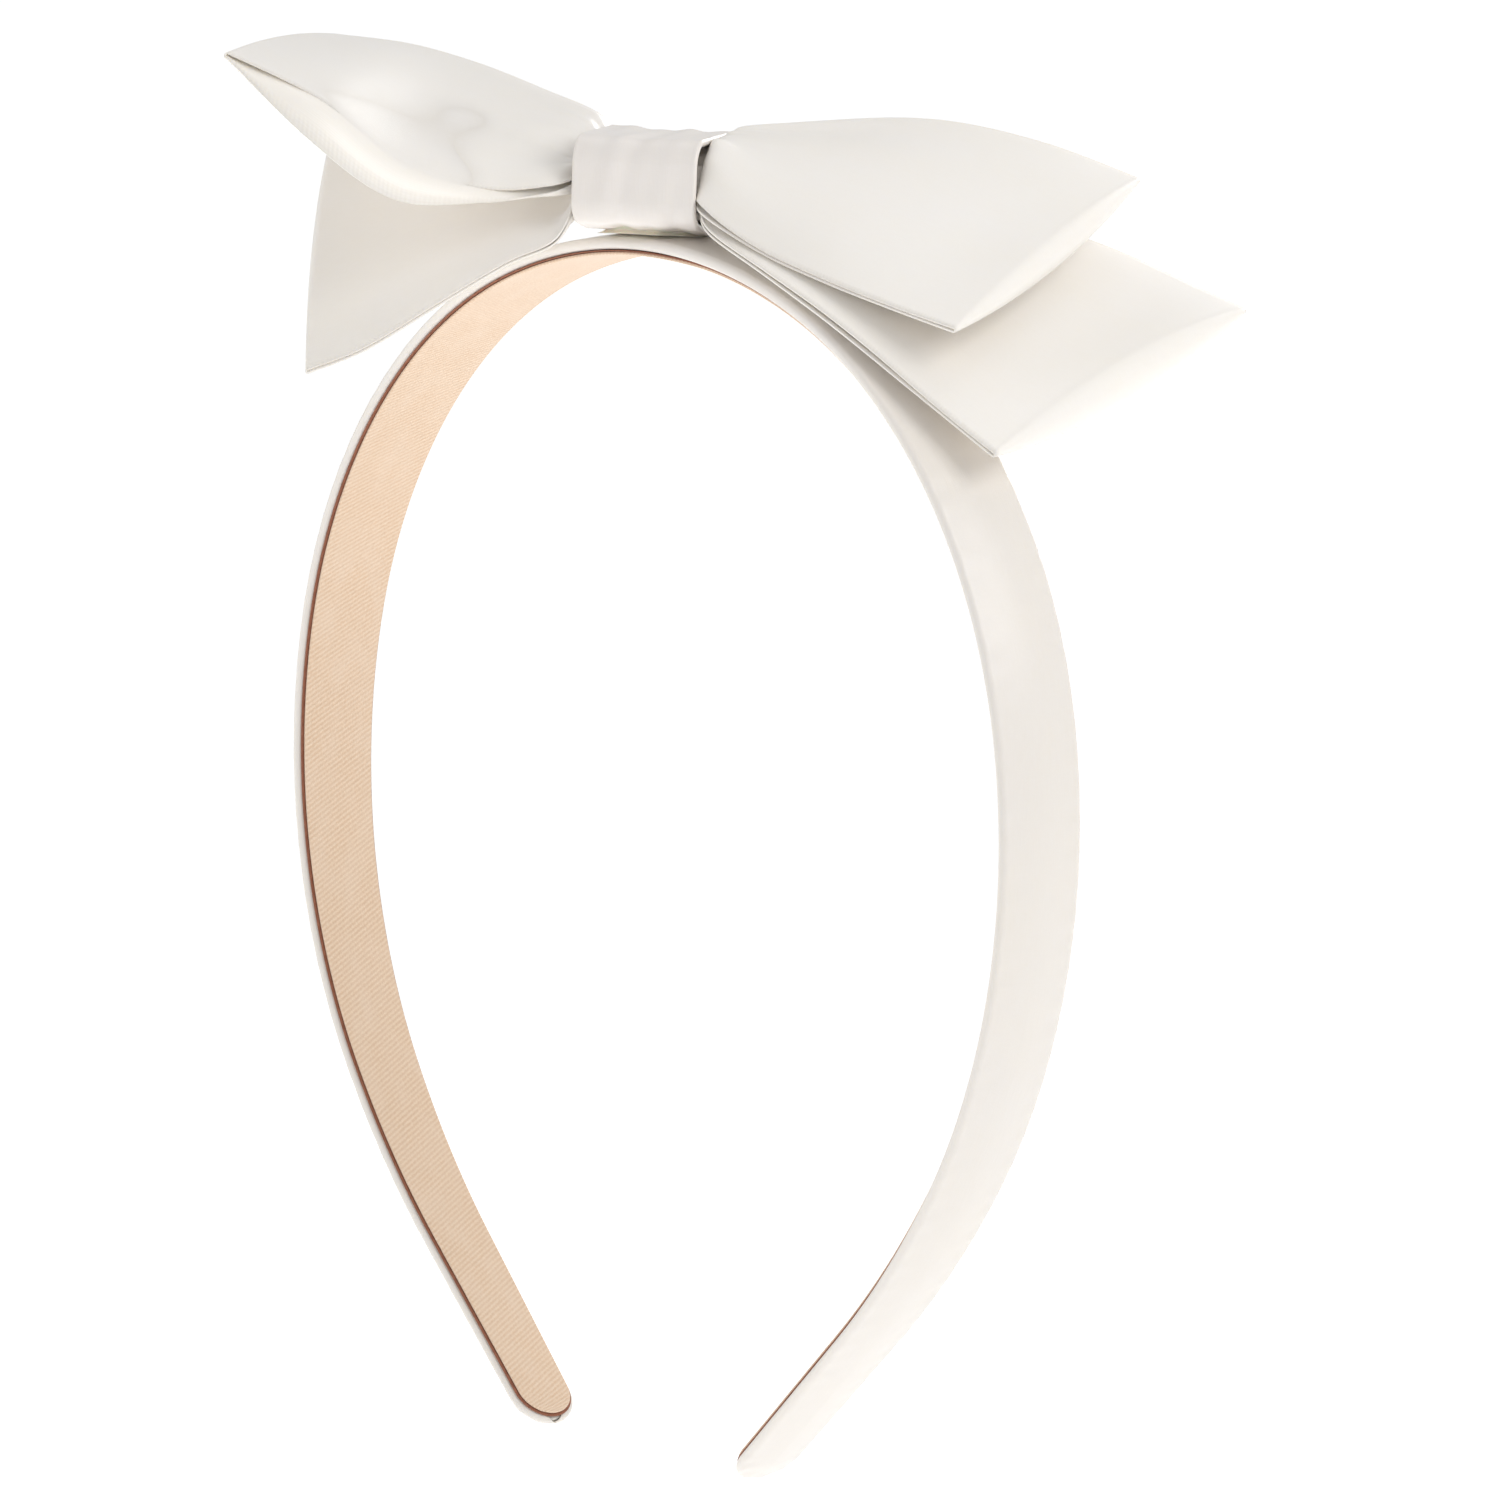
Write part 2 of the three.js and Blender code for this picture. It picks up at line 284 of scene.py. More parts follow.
def core_top(along):
    return CORE_TOP_CROWN + (CORE_TOP_TIP - CORE_TOP_CROWN) * np.abs(along) / HALF_LENGTH


RIPPLE_HEIGHT = 0.028
RIPPLE_PITCH = 3.4
SECOND_RIPPLE_PITCH = 5.3
PUCKER_HEIGHT = 0.02
PUCKER_PITCH = 0.95
TUCK_HEIGHT = 0.07
TUCKS_PER_RADIAN = 11


def satin_ripples(along, across, distance):
    """Faint ripples and fine puckers where the satin is drawn round the arms, and tucks round the tips."""
    arm = smoothstep(30, 60, np.abs(along)) * (1 - smoothstep(168, 182, np.abs(along)))
    drift = 0.35 * np.sin(along / 9.0) + 0.5 * np.sin(along / 23.0 + 1.3)
    wave = np.sin(2 * math.pi * (along + 0.5 * across) / RIPPLE_PITCH + 2 * drift)
    wave = wave + 0.7 * np.sin(2 * math.pi * (along - 0.3 * across) / SECOND_RIPPLE_PITCH + 3 * drift)
    ripples = RIPPLE_HEIGHT * arm * wave * bump_at(distance, 1.2, 1.6)
    wander = 5 * np.sin(along / 3.1) + 2.5 * np.sin(along / 1.7 + across)
    fine = np.sin(2 * math.pi * along / PUCKER_PITCH + wander)
    patchy = 0.6 + 0.4 * np.sin(along / 6.0 + 1)
    puckers = PUCKER_HEIGHT * arm * fine * bump_at(distance, 1.1, 0.8) * patchy
    round_tip = smoothstep(HALF_LENGTH - 9, HALF_LENGTH - 2, np.abs(along))
    tucks = np.sin(np.arctan2(across, np.abs(along) - HALF_LENGTH + 5) * TUCKS_PER_RADIAN)
    return puckers + ripples + TUCK_HEIGHT * round_tip * tucks * bump_at(distance, 0.7, 0.9)


def dome(rise):
    """The crosswise crown of the band, from 0 at its edge to 1 at its middle."""
    return np.sin(np.clip(rise, 0, 1) * math.pi / 2) ** 1.5


def cover_heights(along, across, distance, upper):
    crest = core_top(along) + COVER_WALL
    middle = (COVER_BASE + crest) / 2
    foot = COVER_EDGE * 0.4
    rise = (distance - foot) / (half_width(along) - foot)
    top = edge_height(distance, COVER_EDGE, middle, crest) + CORE_DOME * dome(rise)
    top = top + satin_ripples(along, across, distance)
    low = edge_height(distance, COVER_EDGE, middle, COVER_BASE)
    return np.where(upper > 0, top, low)


def make_satin_cover(satin):
    profile = open_profile(COVER_EDGE, WIDTH_CROWN / 2, TURN_IN)
    cover = shell("band_satin", 0.0, profile, cover_heights, spacing=SATIN_ROW_SPACING)
    thicken(cover, SATIN_THICK, offset=-1.0)
    rests(cover, "satin_cover", satin)


def slab(name, inset, edge, base, top_of, strays=False):
    """A closed band layer with rounded edges, from base up to top_of(along, distance)."""
    half = WIDTH_CROWN / 2 - inset
    rim = [edge * step for step in EDGE_STEPS]
    inner = [edge + (half - edge) * step for step in TOP_STEPS]
    over = [(-1, d, 1) for d in rim + inner] + [(-1, half, 1)]
    over += [(1, d, 1) for d in (rim + inner)[::-1]]
    under = [(1, d, 0) for d in (rim + inner)[1:]] + [(1, half, 0)]
    under += [(-1, d, 0) for d in (rim + inner)[:0:-1]]
    profile = over + under

    def heights(along, across, distance, upper):
        top = top_of(along, distance)
        middle = (base + top) / 2
        high = edge_height(distance, edge, middle, top)
        low = edge_height(distance, edge, middle, base)
        return np.where(upper > 0, high, low)

    return shell(name, inset, profile, heights, strays)


def make_band_core(plastic):
    def top(along, distance):
        rise = distance / half_width(along, COVER_WALL)
        return core_top(along) - SATIN_EASE + CORE_DOME * dome(rise)

    core = slab("band_plastic", COVER_WALL + SATIN_EASE, CORE_EDGE, CORE_BASE + SATIN_EASE / 2, top)
    rests(core, "band_core", plastic)


def level_top(height):
    """A slab's top that stays at one height."""
    return lambda along, distance: height + 0 * along


def make_backing(board):
    top = level_top(BACKING_BASE + BACKING_THICK)
    backing = slab("lining_board", BACKING_INSET, BACKING_EDGE, BACKING_BASE, top, strays=True)
    rests(backing, "lining_backing", board)


def make_lining(tape):
    lining = slab("peach_tape", LINING_INSET, LINING_EDGE, 0.0, level_top(LINING_THICK), strays=True)
    rests(lining, "lining_tape", tape)


# ---------------------------------------------------------------- the bow's ribbon loops

# A lobe's edges are in the bow's own frame: out from the middle, to the back, and up from the waist's
# middle, at even shares from the wrap to the fold. front and back are the upper layer's edges and arch
# how far the cloth rises between them. gap_front and gap_back are how far the lower layer lies under
# them, curl how soon its front gap closes, lead how far its front edge comes forward, and belly how far
# it rises between its own edges. dents are hollows or ridges in the upper layer: place across, its
# width, place along, its width, and height.
UPPER_RIGHT = dict(
    front=(
        (7.55, -7.2, -1.2), (8.2, -9.7, -2.9), (17.0, -15.8, -6.4),
        (26.0, -20.8, -8.8), (34.5, -24.6, -10.8), (42.8, -27.8, -12.6),
    ),
    back=(
        (7.55, 7.0, 2.1), (8.4, 9.6, 4.2), (18.4, 14.8, 6.0),
        (29.0, 17.8, 6.2), (40.5, 19.0, 4.2), (51.6, 18.6, 0.9),
    ),
    arch=(2.1, 3.4, 3.7, 3.4, 2.6, 1.8),
    gap_front=(0.55, 0.42, 0.36, 0.36, 0.36, 0.42),
    gap_back=(1.8, 2.2, 2.4, 2.0, 1.6, 0.5),
    belly=(0.5, 0.9, 1.2, 1.0, 0.2, -1.7),
    lead=(0.0, 0.0, 0.0, 0.0, 0.0, 0.0),
    curl=1.5,
    dents=((-0.5, 0.4, 0.19, 0.1, 2.0), (0.5, 0.26, 0.36, 0.2, -0.9), (-0.2, 0.5, 0.88, 0.09, -0.5)),
)
UPPER_LEFT = dict(
    front=(
        (-7.4, -7.2, -0.4), (-10.0, -9.4, -1.6), (-16.5, -12.4, -1.7),
        (-24.5, -17.9, 0.7), (-33.3, -21.8, 8.2), (-43.8, -23.3, 12.9),
    ),
    back=(
        (-7.4, 7.0, 2.1), (-9.4, 10.0, 5.2), (-17.5, 13.8, 7.5),
        (-26.6, 17.8, 9.7), (-36.0, 21.4, 11.2), (-44.9, 22.8, 11.7),
    ),
    arch=(1.3, 2.0, 2.2, 2.2, 1.7, 0.9),
    gap_front=(0.55, 0.5, 1.5, 3.4, 4.4, 0.5),
    gap_back=(1.6, 1.4, 0.8, 0.42, 0.34, 0.32),
    belly=(0.5, 1.3, 2.1, 2.1, 1.6, 0.2),
    lead=(0.0, 0.2, 1.2, 2.8, 3.2, 0.4),
    curl=40.0,
    dents=((-0.25, 0.26, 0.16, 0.14, -1.5), (-0.9, 0.14, 0.2, 0.12, 0.5), (-0.1, 0.35, 0.5, 0.12, -0.5)),
)
LOWER_RIGHT = dict(
    front=(
        (7.4, -7.2, -3.0), (9.8, -11.4, -5.1), (18.3, -18.4, -8.6),
        (27.7, -24.0, -13.1), (38.5, -28.8, -19.3), (48.8, -31.6, -25.7),
    ),
    back=(
        (7.4, 7.0, -0.6), (10.4, 9.6, -1.2), (20.0, 13.6, -1.4),
        (34.0, 16.6, -3.6), (50.0, 17.0, -7.4), (65.4, 15.0, -12.8),
    ),
    arch=(0.7, 0.9, 1.1, 1.4, 2.0, 2.6),
    gap_front=(0.55, 0.42, 0.36, 0.36, 0.36, 0.42),
    gap_back=(1.8, 2.2, 2.2, 2.0, 1.6, 0.5),
    belly=(0.0, 0.3, 0.5, 0.4, 0.0, -2.3),
    lead=(0.0, 0.0, 0.0, 0.0, 0.0, 0.0),
    curl=1.5,
    dents=((0.1, 0.7, 0.72, 0.07, 0.8), (0.1, 0.7, 0.89, 0.07, -0.9), (-0.78, 0.2, 0.62, 0.22, 1.2)),
)
LOWER_LEFT = dict(
    front=(
        (-7.4, -7.2, -3.2), (-8.8, -9.8, -7.3), (-13.6, -12.8, -9.9),
        (-20.0, -17.2, -14.4), (-27.2, -21.2, -19.5), (-33.2, -23.6, -22.2),
    ),
    back=(
        (-7.4, 7.0, -0.6), (-9.6, 9.4, 0.0), (-16.0, 12.6, 0.4),
        (-26.0, 16.4, 0.9), (-36.0, 18.8, 0.9), (-44.4, 19.6, 1.2),
    ),
    arch=(0.9, 1.3, 1.8, 2.4, 2.6, 2.2),
    gap_front=(0.55, 0.4, 0.36, 0.36, 0.36, 0.4),
    gap_back=(1.8, 2.0, 2.0, 1.8, 1.4, 0.5),
    belly=(0.0, 0.4, 0.9, 1.4, 1.2, 0.2),
    lead=(0.0, 0.0, 0.0, 0.0, 0.0, 0.0),
    curl=1.0,
    dents=((-0.75, 0.2, 0.1, 0.12, 0.6),),
)
LAYER_ROWS = 76
NOSE_ROWS = 12
NOSE_REACH = 0.75
WAIST_ROWS = 14
RIBBON_COLUMNS = 65
PLEATS = 5.5
PLEAT_DEPTH = 0.75
PLEAT_FADE = 9
WRAP_SHARE = 0.3  # how far out along a lobe the wrap's squeeze still flattens the arch's top
WRAP_SQUEEZE = 1.6

# What the thread takes off the ribbon's width and height at the middle of the waist, and over what share.
THREAD_NIP_ACROSS = 0.12
THREAD_NIP_HEIGHT = 0.38
THREAD_NIP_REACH = 0.2


def lobe_layer(lobe, share, across, upper):
    """A lobe's upper or lower layer at each share out from the wrap and each place across."""
    front = curve_through(lobe["front"], share)[:, None, :]
    back = curve_through(lobe["back"], share)[:, None, :]
    mix = ((across + 1) / 2)[None, :, None]
    places = front + (back - front) * mix
    rounding = 2 + WRAP_SQUEEZE * np.exp(-(share / WRAP_SHARE) ** 2)[:, None]
    arched = 1 - np.abs(across[None, :]) ** rounding
    if upper:
        lift = curve_through(lobe["arch"], share)[:, None] * arched
        for middle, wide, start, reach, height in lobe["dents"]:
            dent = bump_at(across[None, :], middle, wide) * bump_at(share[:, None], start, reach)
            lift = lift + height * dent
    else:
        gap_front = curve_through(lobe["gap_front"], share)[:, None]
        gap_back = curve_through(lobe["gap_back"], share)[:, None]
        near_front = (1 - mix[..., 0]) ** lobe["curl"]
        lift = curve_through(lobe["belly"], share)[:, None] * arched
        lift = lift - gap_back - (gap_front - gap_back) * near_front
        lead = curve_through(lobe["lead"], share)[:, None]
        places[..., 1] -= lead * (1 - mix[..., 0]) ** 2
    pleat = PLEAT_DEPTH * np.exp(-share[:, None] * PLEAT_FADE) * np.cos(across[None, :] * math.pi * PLEATS)
    places[..., 2] += lift + pleat
    return places


def fold_nose(top, bottom, side):
    """The ribbon's round turn from the upper layer's end to the lower one's."""
    middle = (top + bottom) / 2
    half = (top - bottom) / 2
    line = np.gradient(middle, axis=0)
    outwards = np.cross(line, half)
    outwards *= side * np.sign(outwards[:, :1])
    outwards /= np.linalg.norm(outwards, axis=1, keepdims=True)
    radius = np.linalg.norm(half, axis=1, keepdims=True)
    turn = np.linspace(0, math.pi, NOSE_ROWS + 2)[1:-1]
    reach = outwards * radius * NOSE_REACH
    return np.array([middle + half * math.cos(a) + reach * math.sin(a) for a in turn])


def ribbon_loop(left, right):
    """One closed ring of ribbon: out over the right lobe, back under it, and the same on the left."""
    across = np.linspace(-1, 1, RIBBON_COLUMNS)
    share = np.linspace(0, 1, LAYER_ROWS)
    right_top = lobe_layer(right, share, across, True)
    right_bottom = lobe_layer(right, share, across, False)
    left_top = lobe_layer(left, share, across, True)
    left_bottom = lobe_layer(left, share, across, False)
    cross = np.linspace(0, 1, WAIST_ROWS + 2)[1:-1, None, None]
    at_thread = bump_at(cross, 0.5, THREAD_NIP_REACH)
    under_wrap = right_bottom[0] * (1 - cross) + left_bottom[0] * cross
    over_wrap = left_top[0] * (1 - cross) + right_top[0] * cross
    tied = np.concatenate([1 - THREAD_NIP_ACROSS * at_thread, 1 - THREAD_NIP_HEIGHT * at_thread], axis=-1)
    under_wrap[..., 1:] *= tied
    over_wrap[..., 1:] *= tied
    rows = np.concatenate([
        right_top,
        fold_nose(right_top[-1], right_bottom[-1], 1),
        right_bottom[::-1],
        under_wrap,
        left_bottom,
        fold_nose(left_top[-1], left_bottom[-1], -1)[::-1],
        left_top[::-1],
        over_wrap,
    ])
    return rows, across


def path_lengths(rows):
    """How far along the ribbon's middle line each row lies."""
    middle = rows[:, rows.shape[1] // 2]
    steps = np.linalg.norm(np.diff(middle, axis=0), axis=1)
    return np.concatenate([[0], np.cumsum(steps)])


def in_bow_frame(places):
    turn = Matrix.Rotation(BOW_YAW, 3, "Z")
    return places @ np.array(turn).T + np.array(BOW_PLACE)


def make_bow_loop(name, node, left, right, satin):
    rows, across = ribbon_loop(left, right)
    run = path_lengths(rows)
    uvs = np.stack(np.broadcast_arrays(run[:, None], across[None, :] * RIBBON_WIDTH / 2), axis=-1)
    loop = piece(
        name, in_bow_frame(rows.reshape(-1, 3)),
        grid_faces(rows.shape[0], rows.shape[1], close_rows=True), uvs.reshape(-1, 2),
    )
    thicken(loop, RIBBON_THICK)
    rests(loop, node, satin)


# ---------------------------------------------------------------- the knot

def oblong_path(width, height, corner, start, share):
    """Places and outward directions round an oblong with round corners, from start (a share of its turn)."""
    flat_w = width - 2 * corner
    flat_h = height - 2 * corner
    arc = math.pi * corner / 2
    pieces = [flat_w, arc, flat_h, arc, flat_w, arc, flat_h, arc]
    total = sum(pieces)
    corners = ((1, -1), (1, 1), (-1, 1), (-1, -1))
    places = []
    for value in np.atleast_1d(share):
        run = ((value + start) % 1.0) * total
        index = 0
        while run > pieces[index]:
            run -= pieces[index]
            index += 1
        quarter = index // 2
        heading = quarter * math.pi / 2
        cx, cy = corners[quarter]
        centre = np.array([cx * flat_w / 2, cy * flat_h / 2])
        if index % 2:
            angle = heading - math.pi / 2 + run / corner
            normal = np.array([math.cos(angle), math.sin(angle)])
        else:
            normal = np.array([math.sin(heading), -math.cos(heading)])
            length = flat_w if quarter % 2 == 0 else flat_h
            back = length - run
            centre = centre - np.array([math.cos(heading), math.sin(heading)]) * back
        places.append((centre + normal * corner, normal))
    return np.array([p for p, _ in places]), np.array([n for _, n in places]), total


WRAP_ROWS = 150
WRAP_OVERLAP = 0.09  # how far the strip's end laps over its start, as a share of one turn
WRAP_START = 0.07  # where on its turn the strip begins, on the wrap's hidden underside
WRAP_FLAP = 3.8
WRAP_STRIP_THICK = 0.22
WRAP_RIM = 0.34
WRAP_WAIST = 0.25
LAP_LIFT = 0.75
HEM_LINE_DEPTH = 0.16
HEM_LINE_PLACE = 0.93
HEM_LINE_WIDTH = 0.022


def wrap_profile():
    """Across the folded strip: each point's place along the bow, and its depth under the outer face."""
    half = WRAP_WIDTH / 2
    rim = half - WRAP_RIM
    flap = [(half - WRAP_FLAP, 2 * WRAP_RIM), (half - WRAP_FLAP / 2, 2 * WRAP_RIM)]
    turn = np.linspace(math.pi, 0, 9)
    flap += [(rim + WRAP_RIM * math.sin(a), WRAP_RIM - WRAP_RIM * math.cos(a)) for a in turn]
    face = [(x, 0.0) for x in np.linspace(-rim, rim, 27)[1:-1]]
    return np.array([(-x, depth) for x, depth in flap] + face + flap[::-1])


def wrap_wrinkles(place, angle):
    """Heights of the strip's drawn wrinkles and of the line where each hem is folded in."""
    wrinkle = 0.13 * np.sin(place * 7 + 2.2 * np.sin(angle + 0.6))
    wrinkle = wrinkle + 0.10 * np.sin(place * 13 + 3 * np.cos(angle))
    hem_line = bump_at(np.abs(place), HEM_LINE_PLACE, HEM_LINE_WIDTH)
    return wrinkle * (1 - place ** 2) - HEM_LINE_DEPTH * hem_line


def make_knot_wrap(satin):
    profile = wrap_profile()
    share = np.linspace(0, 1 + WRAP_OVERLAP, WRAP_ROWS)
    path, normal, total = oblong_path(WRAP_DEPTH, WRAP_HEIGHT, WRAP_CORNER, WRAP_START, share)
    lap = LAP_LIFT * smoothstep(1 - WRAP_OVERLAP, 1.0, share)
    place = profile[None, :, 0] / (WRAP_WIDTH / 2)
    angle = share[:, None] * 2 * math.pi
    waist = WRAP_WAIST * (1 - place ** 2)
    depth = profile[None, :, 1] - lap[:, None] + waist - wrap_wrinkles(place, angle)
    u = np.broadcast_to(profile[None, :, 0], depth.shape)
    v = path[:, None, 0] - normal[:, None, 0] * depth
    w = path[:, None, 1] - normal[:, None, 1] * depth - WRAP_SAG
    rows = np.stack([u, v, w], axis=-1)
    step = np.linalg.norm(np.diff(profile, axis=0), axis=1)
    run = np.concatenate([[0], np.cumsum(step)])
    uvs = np.stack(np.broadcast_arrays(share[:, None] * total, run[None, :] - run[-1] / 2), axis=-1)
    wrap = piece(
        "knot_strip", in_bow_frame(rows.reshape(-1, 3)),
        grid_faces(rows.shape[0], rows.shape[1]), uvs.reshape(-1, 2),
    )
    thicken(wrap, WRAP_STRIP_THICK)
    rests(wrap, "knot_wrap", satin)
    flat = (round(float(run[-1]) * MM, 4), round(total * (1 + WRAP_OVERLAP) * MM, 4))


# The thread's turns lie on an oblong round the gathered waist.
THREAD_DEPTH = 14.7
THREAD_HEIGHT = 6.4
THREAD_CORNER = 2.1
THREAD_START = 0.1
THREAD_RADIUS = 0.25
THREAD_TURNS = 3
THREAD_PITCH = 0.65
THREAD_STEPS = 1200
PLY_PITCH = 1.3
PLY_RADIUS = THREAD_RADIUS * 0.52
PLY_SIDES = 8


def make_thread(cotton):
    """Two twisted plies wound three times round the waist."""
    share = np.linspace(0, THREAD_TURNS, THREAD_STEPS)
    path, normal, total = oblong_path(THREAD_DEPTH, THREAD_HEIGHT, THREAD_CORNER, THREAD_START, share)
    centre = np.column_stack([(share - THREAD_TURNS / 2) * THREAD_PITCH, path])
    outward = np.column_stack([np.zeros(THREAD_STEPS), normal])
    sideways = np.tile([1.0, 0.0, 0.0], (THREAD_STEPS, 1))
    last = (THREAD_STEPS - 1) * PLY_SIDES
    tube = grid_faces(THREAD_STEPS, PLY_SIDES, close_columns=True)
    tube += [tuple(range(PLY_SIDES)), tuple(range(last, last + PLY_SIDES))[::-1]]
    places = []
    faces = []
    ring = np.linspace(0, 2 * math.pi, PLY_SIDES, endpoint=False)
    for ply in (0, math.pi):
        twist = share * total / PLY_PITCH * 2 * math.pi + ply
        offset = (outward * np.cos(twist)[:, None] + sideways * np.sin(twist)[:, None]) * THREAD_RADIUS / 2
        rows = np.stack([
            centre + offset + (outward * math.cos(a) + sideways * math.sin(a)) * PLY_RADIUS
            for a in ring
        ], axis=1)
        first = sum(len(p) for p in places)
        places.append(rows.reshape(-1, 3))
        faces += [tuple(first + i for i in face) for face in tube]
    thread = weld(piece("waist_thread", in_bow_frame(np.concatenate(places)), faces), FINE_WELD)
    rests(thread, "gathering_thread", cotton)


GLUE_REACH = 6.3
GLUE_SLIMNESS = 10 / 7  # its reach along the bow over its reach across
GLUE_NECK = 0.16
GLUE_CROWN_GAP = 0.06
GLUE_WRAP_GAP = 0.15
GLUE_TURNS = 48
GLUE_LEVELS = 9


def glue_outline(angle):
    """The blob's ragged reach each way: an oblong with well-rounded corners."""
    ragged = 1 + 0.07 * np.sin(3 * angle + 0.4) + 0.05 * np.sin(5 * angle + 2) + 0.03 * np.sin(9 * angle)
    oblong = np.abs(np.cos(angle)) ** 4 + np.abs(np.sin(angle) * GLUE_SLIMNESS) ** 4
    return GLUE_REACH * oblong ** -0.25 * ragged


def make_glue_pad(glue):
    """A squeezed blob of hot glue, drawn in at its middle, between the crown and the wrap."""
    low = CROWN_TOP + GLUE_CROWN_GAP
    high = BOW_PLACE[2] - WRAP_SAG - WRAP_HEIGHT / 2 - GLUE_WRAP_GAP
    angle = np.linspace(0, 2 * math.pi, GLUE_TURNS, endpoint=False)
    outline = glue_outline(angle)
    rows = []
    for level in np.linspace(0, 1, GLUE_LEVELS):
        neck = 1 - GLUE_NECK * math.sin(level * math.pi) ** 0.8
        height = low + (high - low) * level - BOW_PLACE[2]
        reach = outline * neck
        heights = np.full(GLUE_TURNS, height)
        rows.append(np.column_stack([reach * np.cos(angle), reach * np.sin(angle), heights]))
    rows = np.array(rows)
    faces = grid_faces(GLUE_LEVELS, GLUE_TURNS, close_columns=True)
    middles = np.array([[0, 0, rows[0, 0, 2]], [0, 0, rows[-1, 0, 2]]])
    under_middle = GLUE_LEVELS * GLUE_TURNS
    top_ring = under_middle - GLUE_TURNS
    for i in range(GLUE_TURNS):
        after = (i + 1) % GLUE_TURNS
        faces.append((under_middle, after, i))
        faces.append((under_middle + 1, top_ring + i, top_ring + after))
    world = in_bow_frame(np.concatenate([rows.reshape(-1, 3), middles]))
    fall_of_crown = world[:, 0] ** 2 / (2 * (ARCS[0][0] + CROWN_TOP))
    level = (world[:, 2] - low) / (high - low)
    world[:, 2] -= fall_of_crown * np.clip(1 - level, 0, 1)
    pad = weld(piece("glue_blob", world, faces), FINE_WELD)
    rests(pad, "glue_pad", glue)


# ---------------------------------------------------------------- finishes

class Value:
    """A number that a node gives, for sums written as Python expressions."""

    def __init__(self, finish, socket):
        self.finish = finish
        self.socket = socket

    def math(self, operation, *others):
        inputs = dict(enumerate((self,) + others))
        return self.finish.node("ShaderNodeMath", dict(operation=operation), inputs)

    def __add__(self, other):
        return self.math("ADD", other)

    def __mul__(self, other):
        return self.math("MULTIPLY", other)

    def __sub__(self, other):
        return self.math("SUBTRACT", other)

    def __rsub__(self, other):
        return self.math("MULTIPLY_ADD", -1.0, other)

    __radd__ = __add__
    __rmul__ = __mul__

    def smooth(self, low, high):
        """0 below low, 1 above high."""
        settings = dict(interpolation_type="SMOOTHSTEP")
        inputs = {"Value": self, "From Min": low, "From Max": high}
        return self.finish.node("ShaderNodeMapRange", settings, inputs)

    def wave(self, pitch):
        """A sine between 0 and 1 that repeats at this pitch."""
        return (self * (2 * math.pi / pitch)).math("SINE") * 0.5 + 0.5


# Sockets of a colour Mix node, which share their names with its number and vector sockets.
MIX_FACTOR = 0
MIX_FIRST = 6
MIX_SECOND = 7
MIX_COLOUR = 2


class Finish:
    """A material: one Principled shader, whose even values are set by name."""

    def __init__(self, name, **even):
        self.material = bpy.data.materials.new(name)
        self.material.use_nodes = True
        self.nodes = self.material.node_tree.nodes
        self.links = self.material.node_tree.links
        self.shader = self.nodes["Principled BSDF"]
        for key, value in even.items():
            self.shader.inputs[key.replace("_", " ")].default_value = value

    def connect(self, value, socket):
        if isinstance(value, Value):
            self.links.new(value.socket, socket)
        else:
            socket.default_value = value

    def node(self, kind, settings=None, inputs=None, output=0):
        made = self.nodes.new(kind)
        for key, value in (settings or {}).items():
            setattr(made, key, value)
        for key, value in (inputs or {}).items():
            self.connect(value, made.inputs[key])
        return Value(self, made.outputs[output])

    def drive(self, name, value):
        self.connect(value, self.shader.inputs[name])

    def cloth(self):
        """The cloth's own coordinates in millimetres: along it and across it."""
        uv = self.node("ShaderNodeUVMap", dict(uv_map="cloth"))
        along = self.node("ShaderNodeSeparateXYZ", inputs={0: uv}, output="X")
        across = self.node("ShaderNodeSeparateXYZ", inputs={0: uv}, output="Y")
        return uv, along, across

    def place(self):
        """The piece's own coordinates in metres."""
        return self.node("ShaderNodeTexCoord", output="Object")

    def noise(self, vector, scale, detail=3.0, roughness=0.55):
        inputs = {"Vector": vector, "Scale": scale, "Detail": detail, "Roughness": roughness}
        return self.node("ShaderNodeTexNoise", inputs=inputs)

    def cells(self, uv, along, across, detail=3.0, roughness=0.55):
        """Noise on the cloth, with this many cells to the millimetre along it and across it."""
        inputs = {0: uv, 1: (along, across, 1.0)}
        stretched = self.node("ShaderNodeVectorMath", dict(operation="MULTIPLY"), inputs)
        return self.noise(stretched, 1.0, detail, roughness)

    def mix(self, factor, first, second, blend="MIX"):
        """A colour between two, each a tuple or a link."""
        first, second = (c if isinstance(c, Value) else (*c, 1.0) for c in (first, second))
        inputs = {MIX_FACTOR: factor, MIX_FIRST: first, MIX_SECOND: second}
        settings = dict(data_type="RGBA", blend_type=blend)
        return self.node("ShaderNodeMix", settings, inputs, output=MIX_COLOUR)

    def relief(self, height, strength, distance):
        """Gives the surface a relief where a height of 1 is this distance, in metres."""
        inputs = {"Strength": strength, "Distance": distance, "Height": height}
        self.drive("Normal", self.node("ShaderNodeBump", inputs=inputs))


SATIN_WARM = (0.905, 0.85, 0.765)
SATIN_COOL = (0.895, 0.855, 0.81)
# The pale colour below is painted sheen on the satin's floats.
SATIN_PAINTED_SHEEN = (0.945, 0.92, 0.875)
SELVEDGE_CORDS = (0.80, 0.75, 0.68)
SELVEDGE = (0.9, 0.5)  # how far in from the cloth's edge the selvedge begins, and is full
SATIN_THREAD = 0.16
CROSS_THREAD = 0.28
CORD_PITCH = 0.5

# A painted shade multiplies the satin's colours: the band and the knot are the same cloth as the ribbon,
# darkened to paint the shade that falls on them.
RIBBON_SHADE = (1.0, 1.0, 1.0)
BAND_PAINTED_SHADE = (0.90, 0.885, 0.875)
KNOT_PAINTED_SHADE = (0.93, 0.915, 0.92)
UNCUT_WIDTH = 60.0  # wider than the strip, whose edges are turned under, so that no selvedge shows


